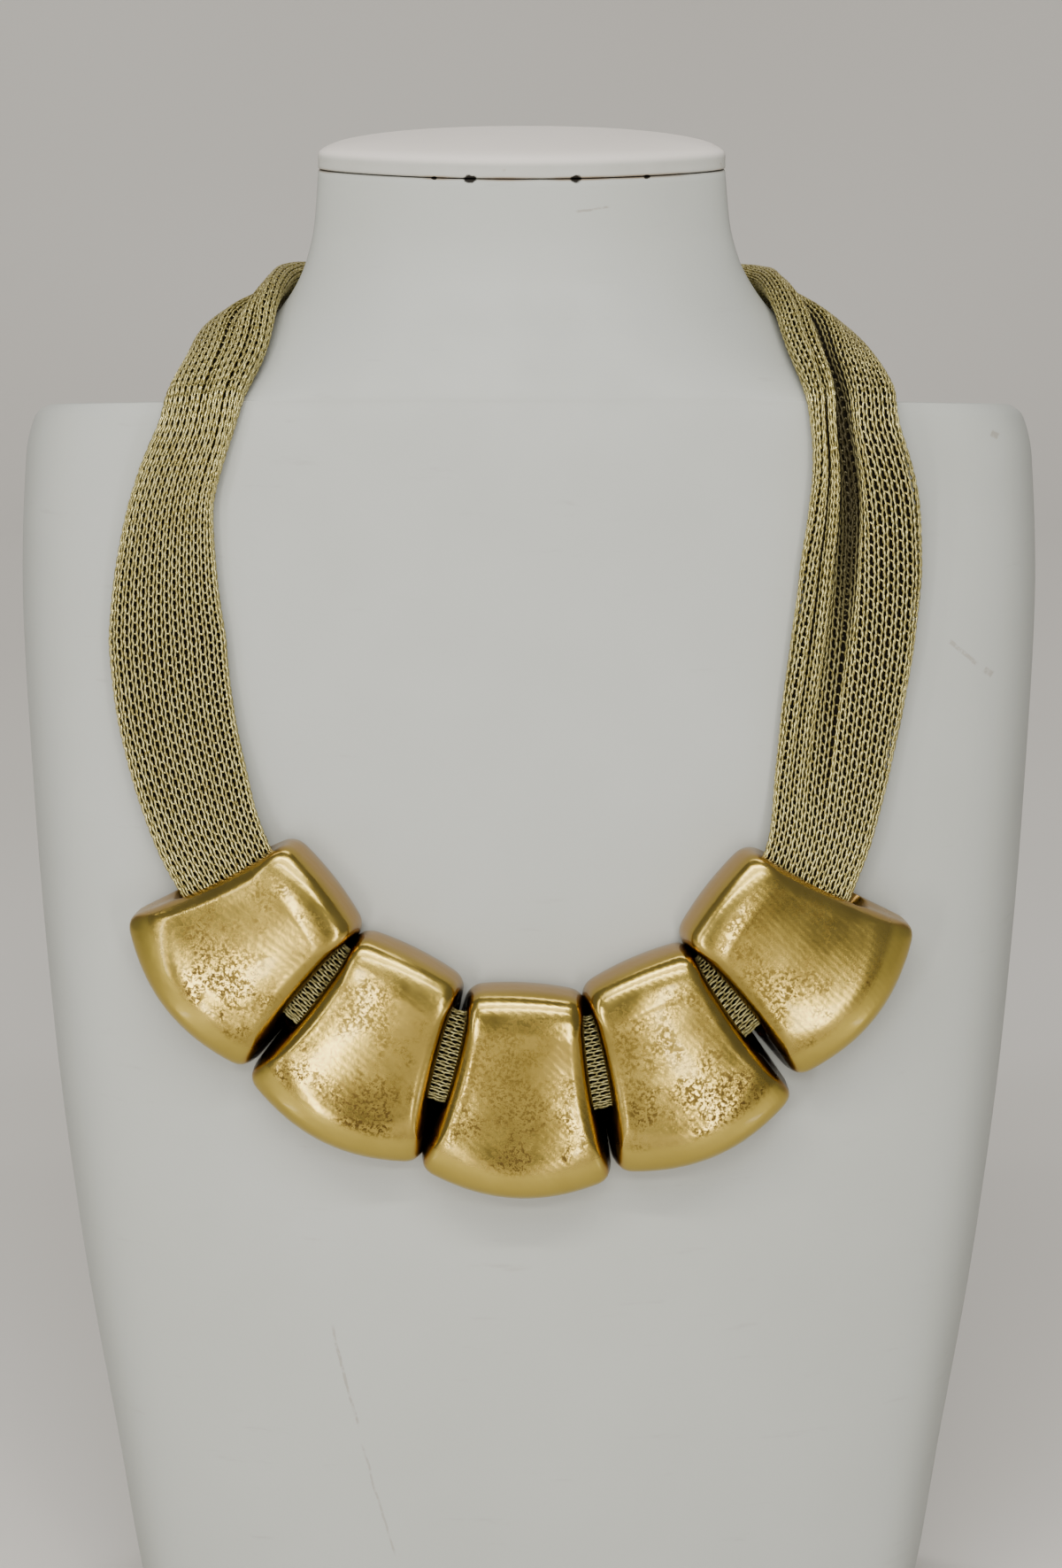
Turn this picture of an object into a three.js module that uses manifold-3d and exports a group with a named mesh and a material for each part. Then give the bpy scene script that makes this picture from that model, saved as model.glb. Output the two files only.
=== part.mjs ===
// A bib necklace of five keystone beads on a knitted mesh band, on a plain neck bust.
// Millimetres, +Z up. The bust faces -Y and stands on z = 0, with its middle at x = 0.

import * as THREE from 'three';
import { mergeVertices } from 'three/addons/utils/BufferGeometryUtils.js';
import Module from 'manifold-3d';

const wasm = await Module();
wasm.setup();

// Clearance left between pieces that touch on the real object
const gap = 0.3;
// How far a piece is lifted at a time until it is clear of the bust
const liftStep = 0.1;

// The bust body: sections from the base up to the seam under the cap.
// halfWidth, front and back reach out from the middle. The front falls away to each side
// as a parabola that would meet the middle plane at x = spread. The rounds are the
// exponents of the corners, each section leans down to the back by tilt degrees, and the
// neck stands a little left of the chest, with its middle at x = middle.
const bustColumns = [
  'z',
  'halfWidth',
  'front',
  'spread',
  'frontRound',
  'back',
  'backRound',
  'tilt',
  'middle',
];
const bustRows = [
  [0, 93.5, 64, 190, 22, 18, 22, 0, 0],
  [3, 96, 66, 190, 22, 20, 22, 0, 0],
  [60, 105.7, 66, 190, 22, 20, 22, 0, 0],
  [110, 113, 64.5, 190, 22, 20, 22, 0, 0],
  [160, 118, 61, 190, 22, 20, 22, 0, 0],
  [218, 121.3, 55, 185, 22, 20, 22, 1, 0],
  [265, 122.6, 47.5, 180, 22, 20, 22, 4, 0],
  [300, 120.8, 40, 172, 20, 21, 22, 9, 0],
  [309.5, 118.5, 37, 168, 18, 22, 18, 11, 0],
  [312.6, 115, 36, 165, 16, 22, 18, 11, 0],
  [313.4, 84, 35.8, 165, 14, 24, 10, 11, -0.2],
  [315.5, 80.5, 35.2, 160, 11, 25.5, 8, 10.5, -0.3],
  [318, 77, 34.2, 152, 9, 27, 6, 10, -0.4],
  [324, 69.8, 31.6, 138, 6.5, 30, 4, 8, -0.6],
  [331, 62.8, 28.6, 120, 5, 32.5, 3.2, 5, -0.9],
  [339, 55.7, 25, 100, 3.8, 35, 2.8, 2, -1.1],
  [347, 51.5, 22, 88, 3, 37, 2.5, 0, -1.4],
  [356, 49.2, 20, 80, 2.5, 38, 2.3, 0, -1.6],
  [368.6, 48, 19, 80, 2.3, 38, 2.2, 0, -1.7],
];
const bustSideSteps = 9;
// Below 1 this gathers the points of a section at its corners
const bustCornering = 0.6;
// Depth of the middle of the neck's flat top
const neckMiddle = 8;

// The cap on the neck: height above the seam and how far its edge is drawn in
const seamGap = 0.5;
const capRows = [
  [0, 0.9],
  [0.4, 0],
  [3.0, 0],
  [4.2, 0.7],
  [5.0, 2.4],
  [6.7, 12],
];
const capDome = 7.6;

// One keystone bead, lying on its back: x runs along the band, +Z to the neck, -Y to the front
const beadInner = 26.7;
const beadOuter = 45.5;
const beadHeight = 43.5;
const beadInnerBulge = 1.2;
const beadOuterBulge = 5.8;
const beadSideHollow = 1.9;
const beadCorner = 3.2;
const beadCrown = 14.9;
const beadCrownRise = 3;
// Height above the back, inset all round, and the further inset of the outer bevel
const beadRows = [
  [0, 2.4, 0],
  [0.9, 0.7, 0],
  [3.2, 0, 0],
  [9.6, 0, 0],
  [11.8, 0.4, 0.8],
  [13.3, 1.5, 3.2],
  [14.2, 4.2, 6.2],
];
const beadSideSteps = 4;
const beadCornerSteps = 4;
const beadLeastRound = 1.5;

// The slot through a bead that the band runs in
const slotTop = 18.6;
const slotBottom = -16;
const slotBack = 2.6;
const slotFront = 11.0;
const slotRound = 3;

// Where each bead lies on the chest: its middle, and its turn from upright
const beadNames = ['left_end', 'left_inner', 'middle', 'right_inner', 'right_end'];
const beadPlaces = [
  // x, z, turn
  [-62.3, 196.4, 51.1],
  [-35.6, 174.2, 25.2],
  [-1.8, 164.3, 3.2],
  [32.3, 171.5, -22.3],
  [58.5, 194.7, -51.2],
];
const bandInBead = { depth: 6.8, rise: 3.2, width: 22.6, thick: 4.0 };

// The band's route over each shoulder, from the neck's nape down to the end bead:
// the middle of the band, its width and thickness, and how far it is folded
const leftStrap = [
  // x, y, z, width, thick, fold
  [-9.5, 41.6, 338, 11.8, 5, 0.2],
  [-16, 41.3, 338, 11.8, 5, 0.2],
  [-31, 37.6, 338, 13, 6.5, 0.3],
  [-47.5, 29.5, 336, 13, 5.8, 0.3],
  [-55.5, 17, 335, 14.5, 5.8, 0.3],
  [-60.5, 4, 333.5, 17, 6, 0.3],
  [-67, -9, 331, 21, 6.3, 0.3],
  [-70.5, -22, 323.5, 19, 6, 0.2],
  [-76.9, -32, 310.5, 17, 5.5, 0.1],
  [-82, -35, 297.5, 19.5, 5, 0.1],
  [-84.2, -38, 281.3, 24.5, 4.6, 0],
  [-84.3, -41, 265, 29, 4.4, 0],
  [-82.6, -44.5, 248.5, 29, 4.4, 0],
  [-78.8, -48.5, 232.3, 28, 4.4, 0],
  [-73.4, -53.6, 217.6, 26, 4.2, 0],
];
const rightStrap = [
  [9.5, 41.6, 338, 11.8, 5, 0.2],
  [16, 41.3, 338, 11.8, 5, 0.2],
  [31, 37.6, 338, 13, 6.5, 0.4],
  [47.5, 29.5, 336, 13, 5.8, 0.2],
  [55.5, 17, 335, 14.5, 5.8, 0.3],
  [61, 4, 334, 18.5, 6.2, 0.5],
  [67, -9, 331, 21.5, 6.3, 0.75],
  [70.8, -22, 324, 21, 6, 1],
  [74.8, -32, 311, 20.5, 6, 1],
  [77.2, -36, 297.7, 26, 5.6, 1],
  [77, -39.5, 281.6, 29.5, 5.2, 0.9],
  [75.4, -43, 265.5, 30, 5, 0.7],
  [73, -46, 249.2, 29.5, 4.8, 0.5],
  [70.4, -49.5, 232.8, 27.5, 4.6, 0.28],
  [66.6, -55.2, 216.2, 24, 4.2, 0],
];
const bandStations = 74;
const bandLengthSteps = 2000;
const bandClearance = 1.0;
// How far before and behind a station the band feels for the bust under it
const bandFeel = 4.4;
const bandTautPasses = 8;

// The band's upper face across its width, from the outer edge at -1 to the inner one at 1:
// the height of the flat band and of the folded one, as shares of its thickness
const bandProfile = [
  // across, flat, folded
  [-1, 0.5, 0.5],
  [-0.95, 0.76, 0.76],
  [-0.8, 0.93, 0.95],
  [-0.5, 1, 1.05],
  [-0.2, 1, 1.02],
  [0.05, 1, 0.7],
  [0.22, 1, 0.2],
  [0.38, 1, 0.35],
  [0.5, 1, 1.0],
  [0.66, 0.98, 1.15],
  [0.77, 0.94, 0.75],
  [0.87, 0.87, 1.1],
  [0.95, 0.76, 0.9],
  [1, 0.5, 0.5],
];
const bandUnderside = [0.92, 0.6, 0.2, -0.2, -0.6, -0.92];
// How much the underside lifts at the edges, as a share of the thickness
const bandEdgeLift = 0.1;

// The plain clasp at the nape
const claspLength = 30;
const claspHeight = 15.6;
const claspThick = 10.4;
const claspRound = 3;
const claspPocket = 6;
const claspWall = 1.2;
const claspRise = 338;

// Materials
const bustMaterial = new THREE.MeshStandardMaterial({ color: 0xc4c4c0, roughness: 0.8, metalness: 0 });
const capMaterial = new THREE.MeshStandardMaterial({ color: 0xccc8c2, roughness: 0.7, metalness: 0 });
const goldMaterial = new THREE.MeshStandardMaterial({ color: 0xb08a3c, roughness: 0.3, metalness: 1 });
const meshMaterial = new THREE.MeshStandardMaterial({ color: 0xb3a478, roughness: 0.45, metalness: 0.9 });

// Smooth curve through the rows of a table, without overshoot: the value of one column
function columnAt(rows, column, at) {
  const last = rows.length - 1;
  let i = 0;
  while (i < last - 1 && at > rows[i + 1][0]) i += 1;
  const step = (k) => rows[k + 1][0] - rows[k][0];
  const rise = (k) => (rows[k + 1][column] - rows[k][column]) / step(k);
  const slope = (k) => {
    if (k === 0) return rise(0);
    if (k === last) return rise(last - 1);
    const before = rise(k - 1);
    const after = rise(k);
    return before * after > 0 ? (2 * before * after) / (before + after) : 0;
  };
  const t = THREE.MathUtils.clamp((at - rows[i][0]) / step(i), 0, 1);
  const ends = [rows[i][column], rows[i + 1][column]];
  const pull = [slope(i) * step(i), slope(i + 1) * step(i)];
  return ends[0] * (1 + 2 * t) * (1 - t) ** 2 + pull[0] * t * (1 - t) ** 2
    + ends[1] * t * t * (3 - 2 * t) - pull[1] * t * t * (1 - t);
}

function bustSection(z) {
  return Object.fromEntries(bustColumns.map((name, column) => [name, columnAt(bustRows, column, z)]));
}

// How far the section reaches to the front or the back at x
function bustReach(section, x, toFront) {
  const side = Math.min(1, Math.abs(x) / section.halfWidth);
  if (!toFront) return section.back * (1 - side ** section.backRound) ** (1 / section.backRound);
  return section.front * (1 - (x / section.spread) ** 2) * Math.sqrt(1 - side ** section.frontRound);
}

// One ring of the bust: the front from left to right, then the back from right to left
function bustRing(section, inset = 0, steps = bustSideSteps) {
  const inner = { ...section, halfWidth: section.halfWidth - inset };
  const share = (j) => Math.sign(j) * Math.sin((Math.PI / 2) * Math.abs(j) / steps) ** bustCornering;
  const lean = Math.tan(THREE.MathUtils.degToRad(section.tilt));
  const ring = [];
  const add = (x, y) => ring.push(new THREE.Vector3(section.middle + x, y, section.z - y * lean));
  for (let j = -steps; j <= steps; j += 1) {
    const x = inner.halfWidth * share(j);
    add(x, -Math.max(0, bustReach(inner, x, true) - inset * (Math.abs(j) < steps)));
  }
  for (let j = steps - 1; j > -steps; j -= 1) {
    const x = inner.halfWidth * share(j);
    add(x, bustReach(inner, x, false) - inset);
  }
  return ring;
}

// Whether a point lies in the bust, or nearer to it than the clearance
function inBust(point, clearance) {
  let z = point.z;
  for (let pass = 0; pass < 4; pass += 1) {
    z = point.z + point.y * Math.tan(THREE.MathUtils.degToRad(bustSection(z).tilt));
  }
  const section = bustSection(z);
  section.halfWidth += clearance;
  const x = point.x - section.middle;
  if (z > bustRows.at(-1)[0] || Math.abs(x) >= section.halfWidth) return false;
  return Math.abs(point.y) < bustReach(section, x, point.y < 0) + clearance;
}

function chestPoint(x, z) {
  return new THREE.Vector3(x, -bustReach(bustSection(z), x, true), z);
}

function chestNormal(x, z) {
  const across = chestPoint(x + 1, z).sub(chestPoint(x - 1, z));
  const up = chestPoint(x, z + 1).sub(chestPoint(x, z - 1));
  return across.cross(up).normalize();
}

// A closed body through rings of points, with a fan to a middle point at each end
function loft(rings, startMiddle, endMiddle) {
  const count = rings[0].length;
  const points = [...rings.flat(), startMiddle, endMiddle];
  const index = [];
  for (let r = 0; r < rings.length - 1; r += 1) {
    for (let j = 0; j < count; j += 1) {
      const a = r * count + j;
      const b = r * count + ((j + 1) % count);
      index.push(a, b, b + count, a, b + count, a + count);
    }
  }
  const lastRing = (rings.length - 1) * count;
  for (let j = 0; j < count; j += 1) {
    const next = (j + 1) % count;
    index.push(points.length - 2, next, j);
    index.push(points.length - 1, lastRing + j, lastRing + next);
  }
  const geometry = new THREE.BufferGeometry().setFromPoints(points);
  geometry.setIndex(index);
  geometry.computeVertexNormals();
  return geometry;
}

function middleOf(ring) {
  return ring.reduce((sum, point) => sum.add(point), new THREE.Vector3()).divideScalar(ring.length);
}

function toSolid(geometry) {
  const bare = geometry.clone();
  bare.deleteAttribute('normal');
  bare.deleteAttribute('uv');
  const merged = mergeVertices(bare);
  const mesh = new wasm.Mesh({
    numProp: 3,
    vertProperties: Float32Array.from(merged.attributes.position.array),
    triVerts: Uint32Array.from(merged.index.array),
  });
  return new wasm.Manifold(mesh);
}

function toGeometry(solid) {
  const mesh = solid.getMesh();
  const geometry = new THREE.BufferGeometry();
  geometry.setAttribute('position', new THREE.BufferAttribute(mesh.vertProperties, 3));
  geometry.setIndex(new THREE.BufferAttribute(mesh.triVerts, 1));
  geometry.computeVertexNormals();
  return geometry;
}

function piece(name, geometry, material) {
  const mesh = new THREE.Mesh(geometry, material);
  mesh.name = name;
  return mesh;
}

function bustBody() {
  const rings = bustRows.map(([z]) => bustRing(bustSection(z)));
  const top = bustRows.at(-1)[0];
  const geometry = loft(rings, new THREE.Vector3(), new THREE.Vector3(0, neckMiddle, top));
  return piece('bust_body', geometry, bustMaterial);
}

function bustCap() {
  const seam = bustRows.at(-1)[0];
  const section = bustSection(seam);
  const rings = capRows.map(([rise, inset]) => bustRing({ ...section, z: seam + seamGap + rise }, inset));
  const bottom = new THREE.Vector3(0, neckMiddle, seam + seamGap);
  const top = new THREE.Vector3(0, neckMiddle, seam + seamGap + capDome);
  return piece('bust_cap', loft(rings, bottom, top), capMaterial);
}

// The bead's outline, drawn in by inset, with bevel more at the outer edge
function beadRing(y, inset, bevel) {
  const top = beadHeight / 2 - inset;
  const bottom = -beadHeight / 2 + inset + bevel;
  const taper = (beadOuter - beadInner) / 2 / beadHeight;
  const halfAt = (z) => beadInner / 2 + (beadHeight / 2 - z) * taper - inset;
  const corners = [
    new THREE.Vector2(-halfAt(bottom), bottom),
    new THREE.Vector2(halfAt(bottom), bottom),
    new THREE.Vector2(halfAt(top), top),
    new THREE.Vector2(-halfAt(top), top),
  ];
  const bulges = [beadOuterBulge, -beadSideHollow, beadInnerBulge, -beadSideHollow];
  const round = Math.max(beadLeastRound, beadCorner - inset / 2);
  const sides = corners.map((start, i) => {
    const end = corners[(i + 1) % 4];
    const along = end.clone().sub(start);
    const out = new THREE.Vector2(along.y, -along.x).normalize();
    const control = start.clone().add(end).multiplyScalar(0.5).addScaledVector(out, 2 * bulges[i]);
    return { curve: new THREE.QuadraticBezierCurve(start, control, end), trim: round / along.length() };
  });
  const outline = [];
  sides.forEach(({ curve, trim }, i) => {
    for (let j = 0; j < beadSideSteps; j += 1) {
      outline.push(curve.getPoint(trim + (1 - 2 * trim) * (j / beadSideSteps)));
    }
    const next = sides[(i + 1) % 4];
    const from = curve.getPoint(1 - trim);
    const to = next.curve.getPoint(next.trim);
    const corner = new THREE.QuadraticBezierCurve(from, curve.v2, to);
    for (let j = 0; j < beadCornerSteps; j += 1) outline.push(corner.getPoint(j / beadCornerSteps));
  });
  return outline.map((point) => new THREE.Vector3(point.x, y, point.y));
}

// A box with rounded long edges, along x
function roundedBar(length, height, thick, round) {
  const shape = new THREE.Shape();
  const [a, b] = [height / 2, thick / 2];
  shape.moveTo(-a + round, -b);
  shape.lineTo(a - round, -b);
  shape.absarc(a - round, -b + round, round, -Math.PI / 2, 0, false);
  shape.absarc(a - round, b - round, round, 0, Math.PI / 2, false);
  shape.absarc(-a + round, b - round, round, Math.PI / 2, Math.PI, false);
  shape.absarc(-a + round, -b + round, round, Math.PI, 1.5 * Math.PI, false);
  const bar = new THREE.ExtrudeGeometry(shape, { depth: length, bevelEnabled: false, curveSegments: 3 });
  bar.translate(0, 0, -length / 2);
  // The shape's x becomes +Z and its y becomes +Y, with the length along x
  bar.applyMatrix4(new THREE.Matrix4().makeBasis(
    new THREE.Vector3(0, 0, 1),
    new THREE.Vector3(0, 1, 0),
    new THREE.Vector3(-1, 0, 0),
  ));
  return bar;
}

function beadGeometry() {
  const rings = beadRows.map(([rise, inset, bevel]) => beadRing(-rise, inset, bevel));
  const body = loft(rings, new THREE.Vector3(0, 0, 0), new THREE.Vector3(0, -beadCrown, beadCrownRise));
  const slot = roundedBar(2 * beadOuter, slotTop - slotBottom, slotFront - slotBack, slotRound);
  slot.translate(0, -(slotFront + slotBack) / 2, (slotTop + slotBottom) / 2);
  return toGeometry(toSolid(body).subtract(toSolid(slot)));
}

// Stands a bead on the chest, clear of it by the gap at its nearest point
function placeBead(mesh, [x, z, turn]) {
  const normal = chestNormal(x, z);
  const angle = THREE.MathUtils.degToRad(turn);
  const inward = new THREE.Vector3(Math.sin(angle), 0, Math.cos(angle)).projectOnPlane(normal).normalize();
  const back = normal.clone().negate();
  const along = back.clone().cross(inward);
  mesh.quaternion.setFromRotationMatrix(new THREE.Matrix4().makeBasis(along, back, inward));
  mesh.position.copy(chestPoint(x, z)).addScaledVector(normal, gap);
  mesh.updateMatrix();
  const touches = () => beadRing(0, beadRows[0][1], 0)
    .some((point) => inBust(point.clone().applyMatrix4(mesh.matrix), gap));
  while (touches()) {
    mesh.position.addScaledVector(normal, liftStep);
    mesh.updateMatrix();
  }
}

function beads() {
  const geometry = beadGeometry();
  return beadPlaces.map((place, i) => {
    const bead = piece(`bead_${beadNames[i]}`, geometry, goldMaterial);
    placeBead(bead, place);
    return bead;
  });
}

// The band's route as rows of x, y, z, width, thick and fold, from nape to nape
function bandRoute(beadMeshes) {
  const { depth, rise, width, thick } = bandInBead;
  const inBeads = beadMeshes.map((bead) => {
    const middle = new THREE.Vector3(0, -depth, rise).applyMatrix4(bead.matrix);
    return [...middle.toArray(), width, thick, 0];
  });
  return [...leftStrap, ...inBeads, ...rightStrap.toReversed()];
}

// The way off the bust at a point near it: the mean of the ways round the point, spread
// evenly over a ball, that lead clear of the bust
function awayFromBust(point) {
  const [ways, clear, reaches] = [400, 1.5, [6, 12, 18]];
  const goldenTurn = Math.PI * (3 - Math.sqrt(5));
  const away = new THREE.Vector3();
  for (let i = 0; i < ways; i += 1) {
    const height = 1 - (2 * i + 1) / ways;
    const flat = Math.sqrt(1 - height * height);
    const way = new THREE.Vector3(flat * Math.cos(i * goldenTurn), flat * Math.sin(i * goldenTurn), height);
    for (const reach of reaches) {
      if (!inBust(point.clone().addScaledVector(way, reach), clear)) away.add(way);
    }
  }
  return away.normalize();
}

// Even stations along the route: the middle of the band and its own three directions there
function bandStationsAlong(beadMeshes) {
  const rows = bandRoute(beadMeshes);
  const points = rows.map((row) => new THREE.Vector3(row[0], row[1], row[2]));
  const curve = new THREE.CatmullRomCurve3(points, false, 'centripetal');
  curve.arcLengthDivisions = bandLengthSteps;
  const ways = points.map((point) => awayFromBust(point));
  const stations = [];
  for (let i = 0; i < bandStations; i += 1) {
    const share = i / (bandStations - 1);
    const t = curve.getUtoTmapping(share) * (rows.length - 1);
    const k = Math.min(rows.length - 2, Math.floor(t));
    const mix = (column) => THREE.MathUtils.lerp(rows[k][column], rows[k + 1][column], t - k);
    const tangent = curve.getTangentAt(share);
    const normal = ways[k].clone().lerp(ways[k + 1], t - k).projectOnPlane(tangent).normalize();
    const inward = normal.clone().cross(tangent);
    stations.push({
      middle: curve.getPointAt(share),
      tangent,
      normal,
      inward,
      width: mix(3),
      thick: mix(4),
      fold: mix(5),
    });
  }
  return stations;
}

function bandPoint({ middle, normal, inward, width }, across, height) {
  return middle.clone()
    .addScaledVector(inward, (across * width) / 2)
    .addScaledVector(normal, height);
}

// How high the underside lies at each place across each station: on the bust where it meets it
// there or a little before or behind, and taut over its hollows
function bandFloors(stations, places) {
  const own = stations.map((station) => places.map((across) => {
    let height = -station.thick / 2;
    const blocked = (ahead) => {
      const point = bandPoint(station, across, height).addScaledVector(station.tangent, ahead);
      return inBust(point, bandClearance);
    };
    while ([-bandFeel, 0, bandFeel].some(blocked)) height += liftStep;
    return height;
  }));
  let floors = own;
  for (let pass = 0; pass < bandTautPasses; pass += 1) {
    const before = floors;
    floors = own.map((row, i) => row.map((height, j) => {
      if (i === 0 || i === own.length - 1) return height;
      return Math.max(height, (before[i - 1][j] + before[i + 1][j]) / 2);
    }));
  }
  return floors;
}

// The band's sections: the upper face from the outer to the inner edge, then the underside
function bandRings(stations) {
  const places = [...bandProfile.map(([across]) => across), ...bandUnderside];
  const edgeLift = (across) => (Math.abs(across) > 0.9 ? bandEdgeLift : 0);
  const floors = bandFloors(stations, places);
  return stations.map((station, i) => places.map((across, j) => {
    const profile = bandProfile[j];
    const share = profile ? THREE.MathUtils.lerp(profile[1], profile[2], station.fold) : edgeLift(across);
    return bandPoint(station, across, floors[i][j] + station.thick * share);
  }).reverse());
}

function meshBand(beadMeshes) {
  const rings = bandRings(bandStationsAlong(beadMeshes));
  return piece('mesh_band', loft(rings, middleOf(rings[0]), middleOf(rings.at(-1))), meshMaterial);
}

// The clasp takes an end of the band in the pocket at each of its ends
function clasp() {
  let solid = toSolid(roundedBar(claspLength, claspHeight, claspThick, claspRound));
  const [pocketHeight, pocketThick] = [claspHeight - 2 * claspWall, claspThick - 2 * claspWall];
  for (const side of [-1, 1]) {
    const pocket = roundedBar(2 * claspPocket, pocketHeight, pocketThick, claspRound);
    pocket.translate((side * claspLength) / 2, 0, 0);
    solid = solid.subtract(toSolid(pocket));
  }
  const mesh = piece('clasp', toGeometry(solid), goldMaterial);
  const nape = bustReach(bustSection(claspRise + claspHeight / 2 - claspRound), 0, false);
  mesh.position.set(0, nape + gap + claspThick / 2, claspRise);
  return mesh;
}

const necklaceOnBust = new THREE.Group();
const beadMeshes = beads();
necklaceOnBust.add(bustBody(), bustCap(), ...beadMeshes, meshBand(beadMeshes), clasp());

export default necklaceOnBust;
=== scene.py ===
import math

import bpy
import numpy as np
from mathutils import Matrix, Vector


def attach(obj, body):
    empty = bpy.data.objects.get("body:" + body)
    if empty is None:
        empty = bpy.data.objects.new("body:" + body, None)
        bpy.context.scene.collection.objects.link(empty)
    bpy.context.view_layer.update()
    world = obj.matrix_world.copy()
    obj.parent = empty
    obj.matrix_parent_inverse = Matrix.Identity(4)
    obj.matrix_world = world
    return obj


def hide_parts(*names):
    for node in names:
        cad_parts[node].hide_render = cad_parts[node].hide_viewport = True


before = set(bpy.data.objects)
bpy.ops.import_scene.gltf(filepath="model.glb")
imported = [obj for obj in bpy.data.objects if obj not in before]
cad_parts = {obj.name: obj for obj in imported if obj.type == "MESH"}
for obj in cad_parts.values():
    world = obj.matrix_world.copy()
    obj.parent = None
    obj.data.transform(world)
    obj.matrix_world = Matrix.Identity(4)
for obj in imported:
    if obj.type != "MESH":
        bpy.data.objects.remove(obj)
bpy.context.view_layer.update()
scene = bpy.context.scene

# Shapes are worked out in millimetres in the part's frame, and become metres in make_piece.
# The bust faces -Y and stands on z = 0.

# Camera

camera_target = Vector((0.0005, -0.056, 0.234))
camera_place = Vector((0.0005, -0.9211, 0.48207))
camera_data = bpy.data.cameras.new("camera")
camera_data.sensor_width = 36
camera_data.lens = 89.24
camera_data.clip_start = 0.05
camera = bpy.data.objects.new("camera", camera_data)
camera.location = camera_place
camera.rotation_euler = (camera_target - camera_place).to_track_quat("-Z", "Y").to_euler()
scene.collection.objects.link(camera)
scene.camera = camera


# Mesh tools

def make_piece(name, points, quads=(), triangles=(), sharp=None):
    """A smooth-shaded closed mesh from points in millimetres, turned right side out."""
    points = np.asarray(points, float) / 1000
    quads = np.asarray(quads, int).reshape(-1, 4)
    triangles = np.asarray(triangles, int).reshape(-1, 3)
    fans = np.vstack([quads[:, [0, 1, 2]], quads[:, [0, 2, 3]], triangles])
    a, b, c = (points[fans[:, i]] for i in range(3))
    if np.sum(a * np.cross(b, c)) < 0:
        quads, triangles = quads[:, ::-1], triangles[:, ::-1]
    mesh = bpy.data.meshes.new(name)
    mesh.vertices.add(len(points))
    mesh.vertices.foreach_set("co", points.astype(np.float32).ravel())
    corners = np.concatenate([quads.ravel(), triangles.ravel()]).astype(np.int32)
    starts = np.concatenate([
        np.arange(len(quads)) * 4,
        quads.size + np.arange(len(triangles)) * 3,
    ]).astype(np.int32)
    mesh.loops.add(len(corners))
    mesh.loops.foreach_set("vertex_index", corners)
    mesh.polygons.add(len(starts))
    mesh.polygons.foreach_set("loop_start", starts)
    mesh.update(calc_edges=True)
    mesh.polygons.foreach_set("use_smooth", np.ones(len(starts), bool))
    if sharp is not None:
        mesh.set_sharp_from_angle(angle=math.radians(sharp))
    obj = bpy.data.objects.new(name, mesh)
    scene.collection.objects.link(obj)
    return obj


def ring_quads(rows, count, close_rows=False):
    """Quads between rows of points, each row a closed ring of count points."""
    spans = rows if close_rows else rows - 1
    r, j = np.meshgrid(np.arange(spans), np.arange(count), indexing="ij")
    here, along = r * count, ((r + 1) % rows) * count
    j_next = (j + 1) % count
    return np.stack([here + j, here + j_next, along + j_next, along + j], -1).reshape(-1, 4)


def closed_loft(name, rings, start_middle, end_middle, sharp=None):
    """A closed body through rings of points, with a fan to a middle point at each end."""
    rows, count = rings.shape[:2]
    points = np.vstack([rings.reshape(-1, 3), start_middle, end_middle])
    j = np.arange(count)
    j_next = (j + 1) % count
    first = np.stack([np.full(count, rows * count), j_next, j], -1)
    base = (rows - 1) * count
    last = np.stack([np.full(count, rows * count + 1), base + j, base + j_next], -1)
    return make_piece(name, points, ring_quads(rows, count), np.vstack([first, last]), sharp)


def smooth_rows(rows, steps, closed=False):
    """Points on a smooth curve through the rows, with steps points from each row to the next.
    The curve is the same centripetal one for every column of points."""
    rows = np.asarray(rows, float)
    if closed:
        rows = np.concatenate([rows[-1:], rows, rows[:2]])
    else:
        rows = np.concatenate([2 * rows[:1] - rows[1:2], rows, 2 * rows[-1:] - rows[-2:-1]])
    apart = np.linalg.norm(np.diff(rows, axis=0), axis=-1)
    apart = apart.reshape(len(apart), -1).mean(1)
    d = np.maximum(apart, 1e-6) ** 0.5
    found = []
    for k in range(1, len(rows) - 2):
        p0, p1, p2, p3 = rows[k - 1:k + 3]
        d0, d1, d2 = d[k - 1:k + 2]
        pull1 = ((p1 - p0) / d0 - (p2 - p0) / (d0 + d1) + (p2 - p1) / d1) * d1
        pull2 = ((p2 - p1) / d1 - (p3 - p1) / (d1 + d2) + (p3 - p2) / d2) * d1
        for i in range(steps):
            t = i / steps
            found.append(
                p1 * (1 + 2 * t) * (1 - t) ** 2 + pull1 * t * (1 - t) ** 2
                + p2 * t * t * (3 - 2 * t) - pull2 * t * t * (1 - t)
            )
    if not closed:
        found.append(rows[-2])
    return np.array(found)


def smoothstep(low, high, value):
    t = np.clip((value - low) / (high - low), 0, 1)
    return t * t * (3 - 2 * t)


def unit(vectors):
    return vectors / np.linalg.norm(vectors, axis=-1, keepdims=True)


# The bust's form: half_width, front and back reach out from the middle of each section, the
# rounds are the exponents of its corners, and it leans down to the back by tilt degrees

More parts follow.
